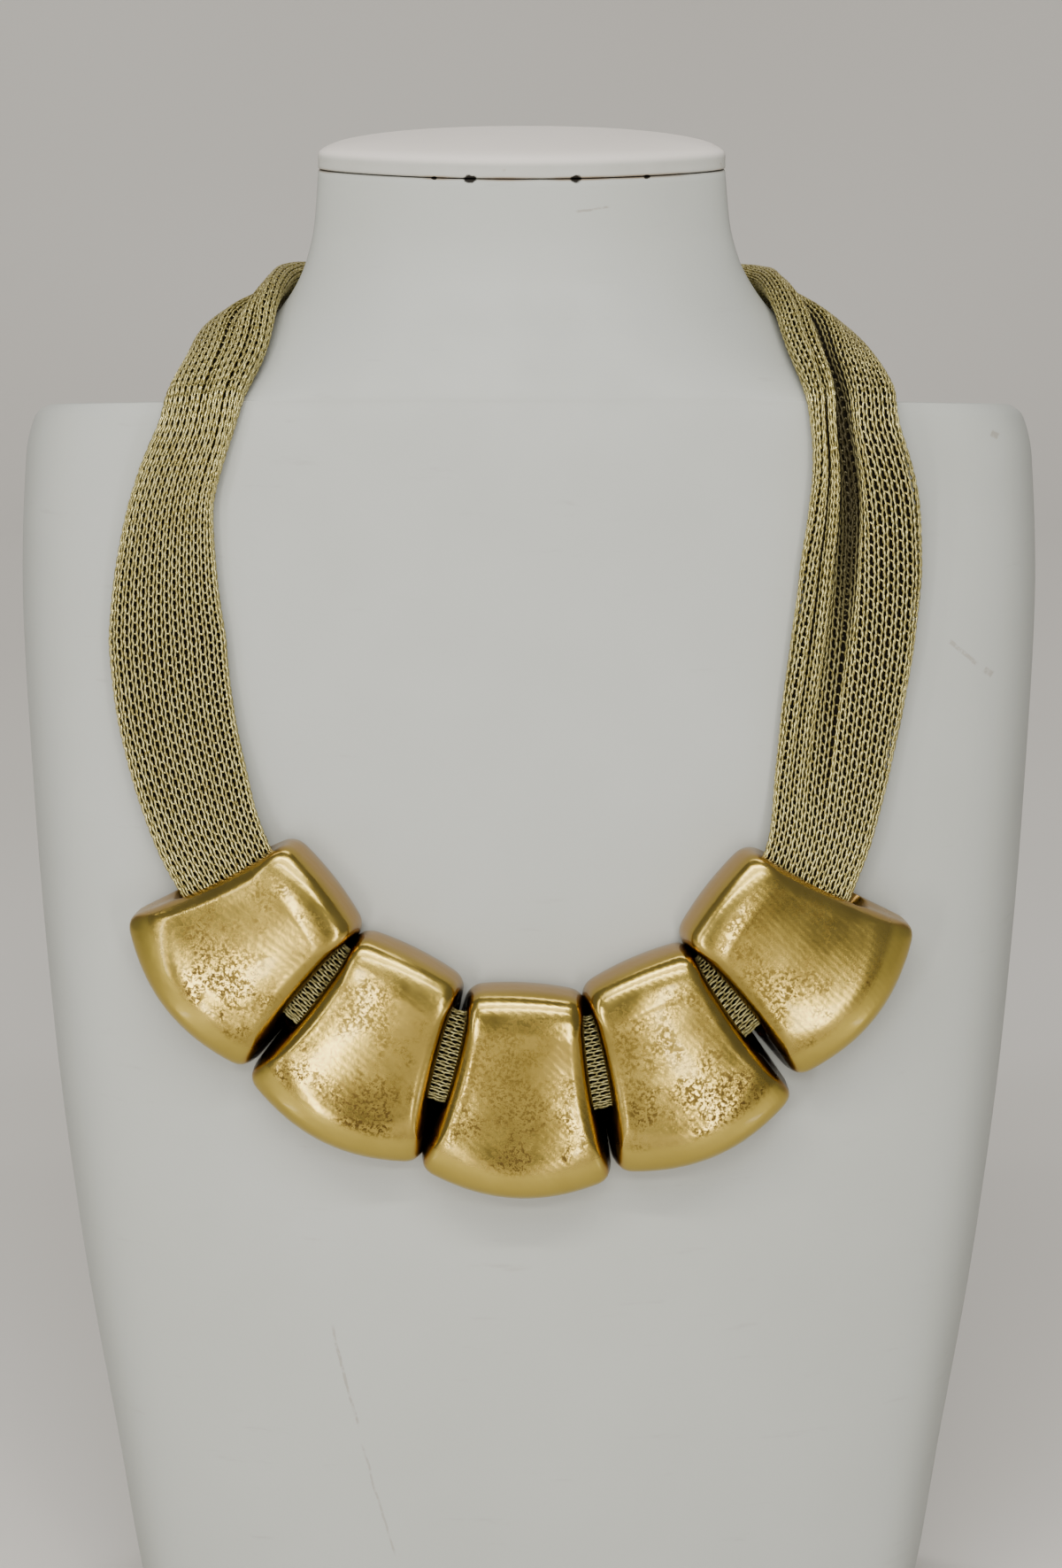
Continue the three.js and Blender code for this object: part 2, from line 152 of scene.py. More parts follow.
bust_columns = ["z", "half_width", "front", "spread", "front_round", "back", "back_round", "tilt", "middle"]
bust_rows = np.array([
    [0, 93.5, 64, 190, 22, 18, 22, 0, 0],
    [3, 96, 66, 190, 22, 20, 22, 0, 0],
    [60, 105.7, 66, 190, 22, 20, 22, 0, 0],
    [110, 113, 64.5, 190, 22, 20, 22, 0, 0],
    [160, 118, 61, 190, 22, 20, 22, 0, 0],
    [218, 121.3, 55, 185, 22, 20, 22, 1, 0],
    [265, 122.6, 47.5, 180, 22, 20, 22, 4, 0],
    [300, 120.8, 40, 172, 20, 21, 22, 9, 0],
    [309.5, 118.5, 37, 168, 18, 22, 18, 11, 0],
    [312.6, 115, 36, 165, 16, 22, 18, 11, 0],
    [313.4, 84, 35.8, 165, 14, 24, 10, 11, -0.2],
    [315.5, 80.5, 35.2, 160, 11, 25.5, 8, 10.5, -0.3],
    [318, 77, 34.2, 152, 9, 27, 6, 10, -0.4],
    [324, 69.8, 31.6, 138, 6.5, 30, 4, 8, -0.6],
    [331, 62.8, 28.6, 120, 5, 32.5, 3.2, 5, -0.9],
    [339, 55.7, 25, 100, 3.8, 35, 2.8, 2, -1.1],
    [347, 51.5, 22, 88, 3, 37, 2.5, 0, -1.4],
    [356, 49.2, 20, 80, 2.5, 38, 2.3, 0, -1.6],
    [368.6, 48, 19, 80, 2.3, 38, 2.2, 0, -1.7],
])
neck_middle = 8
# Points from the middle to each side, crowded towards the corners by an exponent under 1
side_steps, cornering = 40, 0.6
shelf_rows, wall_rows = 16, 7
bust_top = bust_rows[-1, 0]


def bust_section(z):
    """The table's columns at heights z, on a smooth curve without overshoot."""
    z = np.atleast_1d(np.asarray(z, float))
    knots = bust_rows[:, 0]
    step = np.diff(knots)
    i = np.searchsorted(knots[1:-1], z, side="left")
    t = np.clip((z - knots[i]) / step[i], 0, 1)
    section = {"z": z}
    for k, name in enumerate(bust_columns[1:], 1):
        value = bust_rows[:, k]
        rise = np.diff(value) / step
        slope = np.concatenate([rise[:1], np.zeros(len(rise) - 1), rise[-1:]])
        same = rise[:-1] * rise[1:] > 0
        total = np.where(same, rise[:-1] + rise[1:], 1)
        slope[1:-1] = np.where(same, 2 * rise[:-1] * rise[1:] / total, 0)
        section[name] = (
            value[i] * (1 + 2 * t) * (1 - t) ** 2 + slope[i] * step[i] * t * (1 - t) ** 2
            + value[i + 1] * t * t * (3 - 2 * t) - slope[i + 1] * step[i] * t * t * (1 - t)
        )
    return section


def front_reach(section, x):
    side = np.minimum(1, np.abs(x) / section["half_width"])
    fall = 1 - (x / section["spread"]) ** 2
    return section["front"] * fall * np.sqrt(1 - side ** section["front_round"])


def back_reach(section, x):
    side = np.minimum(1, np.abs(x) / section["half_width"])
    return section["back"] * (1 - side ** section["back_round"]) ** (1 / section["back_round"])


def bust_rings(z, inset):
    """Rings of the bust at heights z, each drawn in by its inset."""
    section = bust_section(z)
    section = {name: value[:, None] for name, value in section.items()}
    inset = np.broadcast_to(np.asarray(inset, float).reshape(-1, 1), section["z"].shape)
    section["half_width"] = section["half_width"] - inset
    j = np.arange(-side_steps, side_steps + 1)
    share = np.sign(j) * np.sin(np.pi / 2 * np.abs(j) / side_steps) ** cornering
    x = section["half_width"] * share
    y_front = -np.maximum(0, front_reach(section, x) - inset * (np.abs(j) < side_steps))
    y_back = back_reach(section, x) - inset
    across = np.concatenate([x, x[:, -2:0:-1]], 1)
    deep = np.concatenate([y_front, y_back[:, -2:0:-1]], 1)
    lean = np.tan(np.radians(section["tilt"]))
    return np.stack([section["middle"] + across, deep, section["z"] - deep * lean], -1)


def in_bust(points, clearance):
    """Whether each point lies in the bust, or nearer to it than the clearance."""
    x, y, z = np.moveaxis(points, -1, 0)
    height = z
    for _ in range(4):
        tilt = bust_section(height.ravel())["tilt"].reshape(z.shape)
        height = z + y * np.tan(np.radians(tilt))
    section = {k: v.reshape(z.shape) for k, v in bust_section(height.ravel()).items()}
    section["half_width"] = section["half_width"] + clearance
    x = x - section["middle"]
    reach = np.where(y < 0, front_reach(section, x), back_reach(section, x)) + clearance
    return (height <= bust_top) & (np.abs(x) < section["half_width"]) & (np.abs(y) < reach)


def chest_point(x, z):
    section = bust_section(z)
    return np.array([x, -front_reach(section, x)[0], z])


def chest_normal(x, z):
    across = chest_point(x + 1, z) - chest_point(x - 1, z)
    up = chest_point(x, z + 1) - chest_point(x, z - 1)
    return unit(np.cross(across, up))


# Bust and cap

# Height above the bust's top and inset of its last rings
bust_edge = np.array([[-0.3, 0], [-0.1, 0.1], [0, 0.3]])


def build_bust():
    heights = []
    for low, high in zip(bust_rows[:-1, 0], bust_rows[1:, 0]):
        rows = shelf_rows if high - low < 1 else wall_rows
        heights.extend(np.linspace(low, high, rows, endpoint=False))
    heights.extend(bust_top + bust_edge[:, 0])
    inset = np.zeros(len(heights))
    inset[-len(bust_edge):] = bust_edge[:, 1]
    rings = bust_rings(heights, inset)
    return closed_loft("bust", rings, (0, 0, 0), (0, neck_middle, bust_top), sharp=60)


seam_gap = 0.3
# Height above the seam and inset
cap_edge = np.array([[0, 0.5], [0.1, 0.2], [0.3, 0], [1.8, 0], [3.2, 0], [4.0, 0.3]])
cap_top = np.array([
    # height above the seam, share of the edge's size
    [4.7, 0.975],
    [5.3, 0.94],
    [6.0, 0.86],
    [6.7, 0.72],
    [7.3, 0.52],
    [7.65, 0.3],
    [7.8, 0.1],
])
cap_dome = 7.8


def build_cap():
    bottom = bust_top + seam_gap
    edge = bust_rings(np.full(len(cap_edge), bust_top), cap_edge[:, 1])
    edge[..., 2] = bottom + cap_edge[:, :1]
    middle = np.array([0, neck_middle, bottom])
    top = middle + (edge[-1] - middle) * cap_top[:, 1][:, None, None]
    top[..., 2] = bottom + cap_top[:, :1]
    rings = smooth_rows(np.concatenate([edge, top]), 4)
    return closed_loft("bust_cap_top", rings, middle, middle + [0, 0, cap_dome])


# Beads: x runs along the band, +z to the neck, -y to the front, and the back lies on y = 0

bead_inner, bead_outer, bead_height = 26.7, 45.5, 43.5
bead_inner_bulge, bead_outer_bulge, bead_side_hollow = 1.2, 5.8, 1.2
bead_corner, bead_least_round = 3.4, 2.2
bead_crown, bead_crown_rise = 14.5, 3.0
# The face sinks to the sides and rises to the inner and outer edges, by this times the square
face_sink, face_rise = 0.004, 0.0035
bead_rows = [
    # height above the back, inset all round, further outer and inner insets, side hollow
    (0, 2.4, 0, 0, -0.3),
    (0.9, 0.5, 0, 0, -0.3),
    (2.4, 0, 0, 0, -0.3),
    (7.0, 0, 0, 0, 1.0),
    (10.3, 0.3, 0.5, 0.4, 1.2),
    (12.2, 1.0, 1.9, 1.7, 1.2),
    (13.5, 2.2, 3.6, 3.4, 1.1),
    (14.2, 3.8, 5.2, 5.2, 1.0),
]
# Each ring of the crown, as a share of the plateau's edge
crown_shares = 0.84, 0.64, 0.42, 0.2
bead_side_steps, bead_corner_steps, bead_row_steps = 22, 9, 5
slot_top, slot_bottom, slot_back, slot_front, slot_round = 15.6, -9.2, 2.6, 11.0, 3
slot_reach = 40
bead_places = [
    # name, x, z, turn
    ("left_end", -62.3, 196.4, 51.1),
    ("left_inner", -35.6, 174.2, 25.2),
    ("middle", -1.8, 164.3, 3.2),
    ("right_inner", 32.3, 171.5, -22.3),
    ("right_end", 58.5, 194.7, -51.2),
]
piece_gap, bead_lift_step = 0.3, 0.1

dirt_patches = [
    # bead, x and z of the patch, its reach in x and z, strength
    ("left_end", -1, -9, 13, 5, 1.0),
    ("left_end", -8, 10, 6, 4, 0.8),
    ("left_inner", -4, 8.5, 7, 5, 0.8),
    ("left_inner", -5, -13, 10, 4, 0.9),
    ("middle", 0, -3, 10, 13, 1.2),
    ("right_inner", -9, 11, 5, 4, 0.8),
    ("right_inner", 0, -9.5, 14, 4.5, 1.1),
    ("right_end", 2, 13, 6, 4, 0.8),
    ("right_end", -7, 0, 4.5, 10, 1.0),
]


def bezier(start, control, end, t):
    t = np.asarray(t, float)[:, None]
    return start * (1 - t) ** 2 + control * 2 * t * (1 - t) + end * t * t


def bead_ring(depth, inset, bevel, inner_bevel, hollow, side_steps, corner_steps):
    """The bead's outline, drawn in by inset, with bevel more at the outer edge."""
    top = bead_height / 2 - inset - inner_bevel
    bottom = -bead_height / 2 + inset + bevel
    taper = (bead_outer - bead_inner) / 2 / bead_height

    def half_at(z):
        return bead_inner / 2 + (bead_height / 2 - z) * taper - inset

    corners = np.array([
        [-half_at(bottom), bottom],
        [half_at(bottom), bottom],
        [half_at(top), top],
        [-half_at(top), top],
    ])
    bulges = [bead_outer_bulge, -hollow, bead_inner_bulge, -hollow]
    rounding = max(bead_least_round, bead_corner - inset / 2)
    sides = []
    for i, bulge in enumerate(bulges):
        start, end = corners[i], corners[(i + 1) % 4]
        along = end - start
        out = unit(np.array([along[1], -along[0]]))
        control = (start + end) / 2 + out * 2 * bulge
        sides.append((start, control, end, rounding / np.linalg.norm(along)))
    outline = []
    for i, (start, control, end, trim) in enumerate(sides):
        t = trim + (1 - 2 * trim) * np.arange(side_steps) / side_steps
        outline.append(bezier(start, control, end, t))
        after = sides[(i + 1) % 4]
        leave = bezier(start, control, end, [1 - trim])
        enter = bezier(*after[:3], [after[3]])
        outline.append(bezier(leave, end, enter, np.arange(corner_steps) / corner_steps))
    outline = np.concatenate(outline)
    return np.stack([outline[:, 0], np.full(len(outline), -depth), outline[:, 1]], -1)


def bead_basis(x, z, turn):
    """Where a bead lies on the chest: its matrix, clear of the bust by the gap."""
    normal = chest_normal(x, z)
    angle = math.radians(turn)
    inward = np.array([math.sin(angle), 0, math.cos(angle)])
    inward = unit(inward - normal * (inward @ normal))
    along = np.cross(-normal, inward)
    basis = np.stack([along, -normal, inward], 1)
    place = chest_point(x, z) + normal * piece_gap
    rim = bead_ring(*bead_rows[0], 4, 4)
    while in_bust(rim @ basis.T + place, piece_gap).any():
        place = place + normal * bead_lift_step
    return basis, place


def slot_bar():
    """A long bar with the slot's section, to be cut out of the bead."""
    turn = np.linspace(0, np.pi / 2, 9)
    corner = np.stack([np.cos(turn), np.sin(turn)], -1) * slot_round
    half = np.array([(slot_front - slot_back) / 2, (slot_top - slot_bottom) / 2]) - slot_round
    section = np.concatenate([
        corner * [1, 1] + half,
        (corner * [-1, 1] + half * [-1, 1])[::-1],
        corner * [-1, -1] - half,
        (corner * [1, -1] + half * [1, -1])[::-1],
    ])
    middle = np.array([-(slot_front + slot_back) / 2, (slot_top + slot_bottom) / 2])
    section = section + middle
    ends = [
        np.concatenate([np.full((len(section), 1), x), section], 1)
        for x in (-slot_reach, slot_reach)
    ]
    return closed_loft("slot_bar", np.array(ends), (-slot_reach, *middle), (slot_reach, *middle))


def build_bead_shape():
    """One bead's mesh in its own frame, with its slot cut."""
    rings = [bead_ring(*row, bead_side_steps, bead_corner_steps) for row in bead_rows]
    crown = np.array([0, -bead_crown, bead_crown_rise])
    edge, front = bead_rows[-1][0], rings[-1]
    for share in crown_shares:
        ring = crown + (front - crown) * share
        ring[:, 1] = -(edge + (bead_crown - edge) * (1 - share ** 2))
        rings.append(ring)
    rings = smooth_rows(rings, bead_row_steps)
    body = closed_loft("bead_body", rings, (0, 0, 0), crown, sharp=50)
    bar = slot_bar()
    cut = body.modifiers.new("slot", "BOOLEAN")
    cut.operation = "DIFFERENCE"
    cut.solver = "EXACT"
    cut.object = bar
    bpy.context.view_layer.update()
    shaped = body.evaluated_get(bpy.context.evaluated_depsgraph_get())
    mesh = bpy.data.meshes.new_from_object(shaped)
    for helper in (body, bar):
        bpy.data.objects.remove(helper)
    return mesh


def add_attribute(mesh, name, values):
    attribute = mesh.attributes.new(name, "FLOAT", "POINT")
    attribute.data.foreach_set("value", np.asarray(values, np.float32))


def bead_zones(x, depth, z):
    """Where the zones of a bead's surface lie, from 0 to 1, and the way to its outer edge.
    Each zone fades between two distances in millimetres."""
    half = bead_height / 2
    from_outer = z + half + bead_outer_bulge * (1 - np.clip(x / (bead_outer / 2), -1, 1) ** 2)
    from_inner = half + bead_inner_bulge * (1 - np.clip(x / (bead_inner / 2), -1, 1) ** 2) - z
    taper = (bead_outer - bead_inner) / 2 / bead_height
    hollow = bead_side_hollow * (1 - np.clip(z / half, -1, 1) ** 2)
    from_side = bead_inner / 2 + (half - z) * taper - hollow - np.abs(x)
    bevel = 1 - smoothstep(6.4, 8.6, from_outer)
    plateau = smoothstep(12.6, 13.9, depth) * (1 - bevel) * smoothstep(1.5, 5, from_side)
    rim = np.maximum(1 - smoothstep(0.3, 2.0, from_side), 1 - smoothstep(7.5, 11.5, depth))
    # Painted shade on the sides that face the next bead, in the narrow gap
    flank_shade = (1 - smoothstep(0.1, 0.7, from_side)) * (1 - smoothstep(8.5, 11, depth))
    flank_shade *= smoothstep(0.5, 2.5, from_inner) * smoothstep(0.5, 2.5, from_outer)
    return {"bevel": bevel, "plateau": plateau, "rim": rim, "flank_shade": flank_shade, "from_outer": from_outer}


def worn_places(name, x, z):
    """How much patina the patches of one bead leave at each place."""
    worn = np.zeros(len(x))
    for bead, at_x, at_z, reach_x, reach_z, strength in dirt_patches:
        if bead == name:
            worn += strength * np.exp(-((x - at_x) / reach_x) ** 2 - ((z - at_z) / reach_z) ** 2)
    return worn


def build_beads():
    shape = build_bead_shape()
    local = np.zeros(len(shape.vertices) * 3, np.float32)
    shape.vertices.foreach_get("co", local)
    local = local.reshape(-1, 3).astype(float) * 1000
    x, depth, z = local[:, 0], -local[:, 1], local[:, 2]
    zones = bead_zones(x, depth, z)
    # Painted shade: the sides that face another bead are painted near black, as the shade in the narrow gap
    # between beads; the outer sides of the end beads are not
    bare = {"left_end": x < 0, "right_end": x > 0}
    saddle = face_rise * z ** 2 - face_sink * x ** 2
    local[:, 1] -= saddle * smoothstep(7.5, 12.5, depth)
    beads = []
    for name, *place in bead_places:
        basis, origin = bead_basis(*place)
        mesh = shape.copy()
        points = (local @ basis.T + origin) / 1000
        mesh.vertices.foreach_set("co", points.astype(np.float32).ravel())
        mesh.update()
        for zone, values in zones.items():
            if zone == "flank_shade" and name in bare:
                values = np.where(bare[name], 0, values)
            add_attribute(mesh, zone, values)
        add_attribute(mesh, "worn", worn_places(name, x, z))
        bead = bpy.data.objects.new(f"keystone_{name}", mesh)
        scene.collection.objects.link(bead)
        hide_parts(f"bead_{name}")
        beads.append(bead)
    return beads


# The band: its route over each shoulder, with its width, thickness and fold

left_strap = np.array([
    # x, y, z, width, thickness, fold
    [-9.5, 41.6, 338, 11.8, 5, 0.2],
    [-16, 41.3, 338, 11.8, 5, 0.2],
    [-31, 37.6, 338, 13, 6.5, 0.3],
    [-47.5, 29.5, 336, 13, 5.8, 0.3],
    [-55.5, 17, 335, 14.5, 5.8, 0.3],
    [-60.5, 4, 333.5, 17, 6, 0.3],
    [-67, -9, 331, 21, 6.3, 0.3],
    [-70.5, -22, 323.5, 19, 6, 0.2],
    [-76.9, -32, 310.5, 17, 5.5, 0.1],
    [-82, -35, 297.5, 19.5, 5, 0.1],
    [-84.2, -38, 281.3, 24.5, 4.6, 0],
    [-84.3, -41, 265, 29, 4.4, 0],
    [-82.6, -44.5, 248.5, 29, 4.4, 0],
    [-78.8, -48.5, 232.3, 28, 4.4, 0],
    [-73.4, -53.6, 217.6, 26, 4.2, 0],
])
right_strap = np.array([
    # x, y, z, width, thickness, fold
    [9.5, 41.6, 338, 11.8, 5, 0.2],
    [16, 41.3, 338, 11.8, 5, 0.2],
    [31, 37.6, 338, 13, 6.5, 0.4],
    [47.5, 29.5, 336, 13, 5.8, 0.2],
    [55.5, 17, 335, 14.5, 5.8, 0.3],
    [61, 4, 334, 18.5, 6.2, 0.5],
    [67, -9, 331, 21.5, 6.3, 0.75],
    [70.8, -22, 324, 21, 6, 1],
    [74.8, -32, 311, 20.5, 6, 1],
    [77.2, -36, 297.7, 26, 5.6, 1],
    [77, -39.5, 281.6, 29.5, 5.2, 0.9],
    [75.4, -43, 265.5, 30, 5, 0.7],
    [73.0, -46, 249.2, 29.5, 4.8, 0.5],
    [70.4, -49.5, 232.8, 27.5, 4.6, 0.28],
    [66.6, -55.2, 216.2, 24, 4.2, 0],
])
band_depth, band_rise, band_width, band_thick = 6.8, 3.2, 22.6, 4.0
band_stations = 220
band_clearance, band_feel, band_lift_step = 0.9, 1.4, 0.1
# The band is drawn straight over hollows in so many passes, and in fewer where it hugs the neck
band_taut_passes, band_loose_passes = 60, 10
band_profile = np.array([
    # place across the band, height of the flat and of the folded upper face
    [-1, 0.5, 0.5],
    [-0.95, 0.76, 0.76],
    [-0.8, 0.93, 0.95],
    [-0.5, 1, 1.05],
    [-0.2, 1, 1.1],
    [0.0, 1, 1.08],
    [0.07, 1, 0.88],
    [0.1, 1, 0.35],
    [0.14, 1, 0.2],
    [0.24, 1, 0.2],
    [0.36, 1, 0.32],
    [0.45, 1, 0.6],
    [0.52, 1, 1.0],
    [0.6, 0.99, 1.12],
    [0.67, 0.97, 0.95],
    [0.705, 0.96, 0.5],
    [0.74, 0.95, 0.92],
    [0.83, 0.9, 1.08],
    [0.93, 0.78, 0.92],
    [1, 0.5, 0.5],
])
band_underside = np.array([0.92, 0.6, 0.2, -0.2, -0.6, -0.92])
band_edge_lift = 0.1
# How far the edges may hang down to the bust where the band lies on the shoulders
hug_inner, hug_outer = 6, 3
shoulder_low, shoulder_high = 296, 322
# A near-black sheet of painted shade stands for the shaded inside of the knit tube: it keeps this far under
# the upper face and within the edges, and is thin underneath
shadow_sheet_under_face, shadow_sheet_within, shadow_sheet_least, shadow_sheet_thin = 1.35, 1.3, 0.1, 1.0


def route_point(points, t):
    """Points on the centripetal curve through the rows, at shares t of its row count."""
    last = len(points) - 1
    padded = np.vstack([2 * points[0] - points[1], points, 2 * points[-1] - points[-2]])
    where = np.clip(t, 0, 1) * last
    k = np.minimum(where.astype(int), last - 1)
    w = (where - k)[:, None]
    p0, p1, p2, p3 = (padded[k + i] for i in range(4))
    d0, d1, d2 = (
        np.sqrt(np.linalg.norm(b - a, axis=1))[:, None]
        for a, b in ((p0, p1), (p1, p2), (p2, p3))
    )
    pull1 = ((p1 - p0) / d0 - (p2 - p0) / (d0 + d1) + (p2 - p1) / d1) * d1
    pull2 = ((p2 - p1) / d1 - (p3 - p1) / (d1 + d2) + (p3 - p2) / d2) * d1
    return (
        p1 + pull1 * w + (3 * p2 - 3 * p1 - 2 * pull1 - pull2) * w ** 2
        + (2 * p1 - 2 * p2 + pull1 + pull2) * w ** 3
    )


def away_from_bust(point):
    """The way off the bust: the mean of evenly spread ways that lead clear of it."""
    ways = 400
    i = np.arange(ways)
    height = 1 - (2 * i + 1) / ways
    flat = np.sqrt(1 - height ** 2)
    turn = i * math.pi * (3 - math.sqrt(5))
    way = np.stack([flat * np.cos(turn), flat * np.sin(turn), height], -1)
    away = np.zeros(3)
    for reach in (6, 12, 18):
        away += way[~in_bust(point + way * reach, 1.5)].sum(0)
    return unit(away)


def band_route():
    """Even stations from the nape to the left, round to the right, with their ways and sizes."""
    inside = []
    for _, *place in bead_places:
        basis, origin = bead_basis(*place)
        middle = basis @ np.array([0, -band_depth, band_rise]) + origin
        inside.append([*middle, band_width, band_thick, 0])
    rows = np.vstack([left_strap, inside, right_strap[::-1]])
    points = rows[:, :3]
    t = np.linspace(0, 1, 2001)
    pieces = np.linalg.norm(np.diff(route_point(points, t), axis=0), axis=1)
    length = np.concatenate([[0], np.cumsum(pieces)])
    share = np.interp(np.linspace(0, length[-1], band_stations), length, t)
    middle = route_point(points, share)
    tangent = unit(route_point(points, share + 1e-4) - route_point(points, share - 1e-4))
    ways = np.array([away_from_bust(point) for point in points])
    where = share * (len(rows) - 1)
    columns = np.arange(len(rows))
    way = np.stack([np.interp(where, columns, ways[:, i]) for i in range(3)], -1)
    normal = unit(way - tangent * np.sum(way * tangent, -1, keepdims=True))
    sizes = [np.interp(where, columns, rows[:, i]) for i in (3, 4, 5)]
    return middle, tangent, normal, sizes


def band_floor(side, normal, tangent, across, thick, high):
    """How high the underside lies: hanging to the bust where it is high, clear of it, and taut."""
    drop = high * (hug_inner * smoothstep(0.1, 0.9, across) + hug_outer * smoothstep(0.2, 1, -across))
    height = -thick[:, None] / 2 - drop
    while True:
        blocked = np.zeros(height.shape, bool)
        for ahead in (-band_feel, 0, band_feel):
            point = side + normal[:, None] * height[..., None] + tangent[:, None] * ahead
            blocked |= in_bust(point, band_clearance)
        if not blocked.any():
            break
        height[blocked] += band_lift_step
    floor = height.copy()
    for k in range(band_taut_passes):
        floor[1:-1] = np.maximum(height[1:-1], (floor[:-2] + floor[2:]) / 2)
        if k == band_loose_passes:
            loose = floor.copy()
    return floor + (loose - floor) * high * smoothstep(0.1, 0.8, across)


def band_rings():
    """The band's sections with the hollow of their folds, which paints shade on the knit, and the sections
    of the near-black sheet of painted shade inside it.
    """
    middle, tangent, normal, (width, thick, fold) = band_route()
    inward = np.cross(normal, tangent)
    across = np.concatenate([band_profile[:, 0], band_underside])
    side = middle[:, None] + inward[:, None] * (across * width[:, None] / 2)[..., None]
    high = smoothstep(shoulder_low, shoulder_high, middle[:, 2])[:, None]
    floor = band_floor(side, normal, tangent, across, thick, high)
    underside = np.where(np.abs(band_underside) > 0.9, band_edge_lift, 0)
    flat = np.concatenate([band_profile[:, 1], underside])
    folded = np.concatenate([band_profile[:, 2], underside])
    lift = flat + (folded - flat) * fold[:, None]
    rings = side + normal[:, None] * (floor + thick[:, None] * lift)[..., None]

    # The painted-shade sheet lies between the faces, close to the lower one where the band is folded thin
    face = len(band_profile)
    edge = band_edge_lift
    under = np.interp(across, [-1, -0.92, -0.6, 0.6, 0.92, 1], [0.5, edge, 0, 0, edge, 0.5])
    over = np.array([np.interp(across, across[:face], row[:face]) for row in lift])
    room = thick[:, None] * (over - under)
    upper = np.maximum(room - shadow_sheet_under_face, shadow_sheet_least)
    share = np.where(np.arange(len(across)) < face, upper, np.minimum(upper * 0.5, shadow_sheet_thin))
    inner = side - inward[:, None] * (across * shadow_sheet_within)[:, None]
    shadow_sheet_rings = inner + normal[:, None] * (floor + thick[:, None] * under + share)[..., None]
    # How deep each place lies in a fold, which the knit's material turns into painted shade
    hollow = np.clip(flat - lift, 0, 1)
    hollow[:, face:] = [np.interp(across[face:], across[:face], row[:face]) for row in hollow]
    return np.concatenate([rings, hollow[..., None]], -1), shadow_sheet_rings


# The knit follows the band's surface: wales run along the band and courses go round it

wales = 30
courses = 248
wale_cells = 6
course_cells = 4
strand_radius = 0.28  # in millimetres
strand_sides = 4
stitch_segments = 10
# A loop's neck and belly are shares of a wale, its height is in courses, its depth in millimetres
loop_neck = 0.19
loop_belly = 0.05
loop_height = 1.7
loop_depth = 0.3
# Courses hang towards the band's outer edge on both straps, by this many courses at the edges,
# and turn over from one strap to the other within so many courses of the middle
loop_lean, lean_ease = 1.2, 40
# So many courses to each side of the middle lie among the beads, thinner, and painted darker as the shade
# between the beads
bead_courses, bead_ease, between_shade, between_thin = 27, 3, 0.42, 0.25
# The middle of the strands lies this far under the band's surface
knit_depth = 0.45


def band_grid(rings, around, along):
    """Sections as a fine grid: rows along the band, even steps round it."""
    even = []
    for ring in rings:
        fine = smooth_rows(ring[:, None, :], 12, closed=True)[:, 0]
        below = (ring[-3] + ring[-4]) / 2
        start = int(np.argmin(np.linalg.norm((fine - below)[:, :3], axis=1)))
        fine = np.roll(fine, -start, axis=0)
        fine = np.vstack([fine, fine[:1]])
        pieces = np.linalg.norm(np.diff(fine[:, :3], axis=0), axis=1)
        length = np.concatenate([[0], np.cumsum(pieces)])
        at = np.linspace(0, length[-1], around, endpoint=False)
        even.append(np.stack([np.interp(at, length, column) for column in fine.T], -1))
    dense = smooth_rows(even, 6)
    at = np.linspace(0, len(dense) - 1, along)
    k = np.minimum(at.astype(int), len(dense) - 2)
    w = (at - k)[:, None, None]
    return dense[k] * (1 - w) + dense[k + 1] * w


def grid_normals(points):
    round_way = np.roll(points, -1, 1) - np.roll(points, 1, 1)
    along = np.gradient(points, axis=0)
    normals = unit(np.cross(round_way, along))
    outward = points - points.mean(1, keepdims=True)
    return normals * (1 if np.sum(normals * outward) > 0 else -1)


def on_grid(grid, u, v):
    """Values of a grid at u cells round it and v cells along it, between its points."""
    rows, count = grid.shape[:2]
    v = np.clip(v, 0, rows - 1.001)
    i, k = np.floor(u).astype(int), v.astype(int)
    du, dv = (u - i)[..., None], (v - k)[..., None]
    i0, i1 = i % count, (i + 1) % count
    near = grid[k, i0] * (1 - du) + grid[k, i1] * du
    far = grid[k + 1, i0] * (1 - du) + grid[k + 1, i1] * du
    return near * (1 - dv) + far * dv


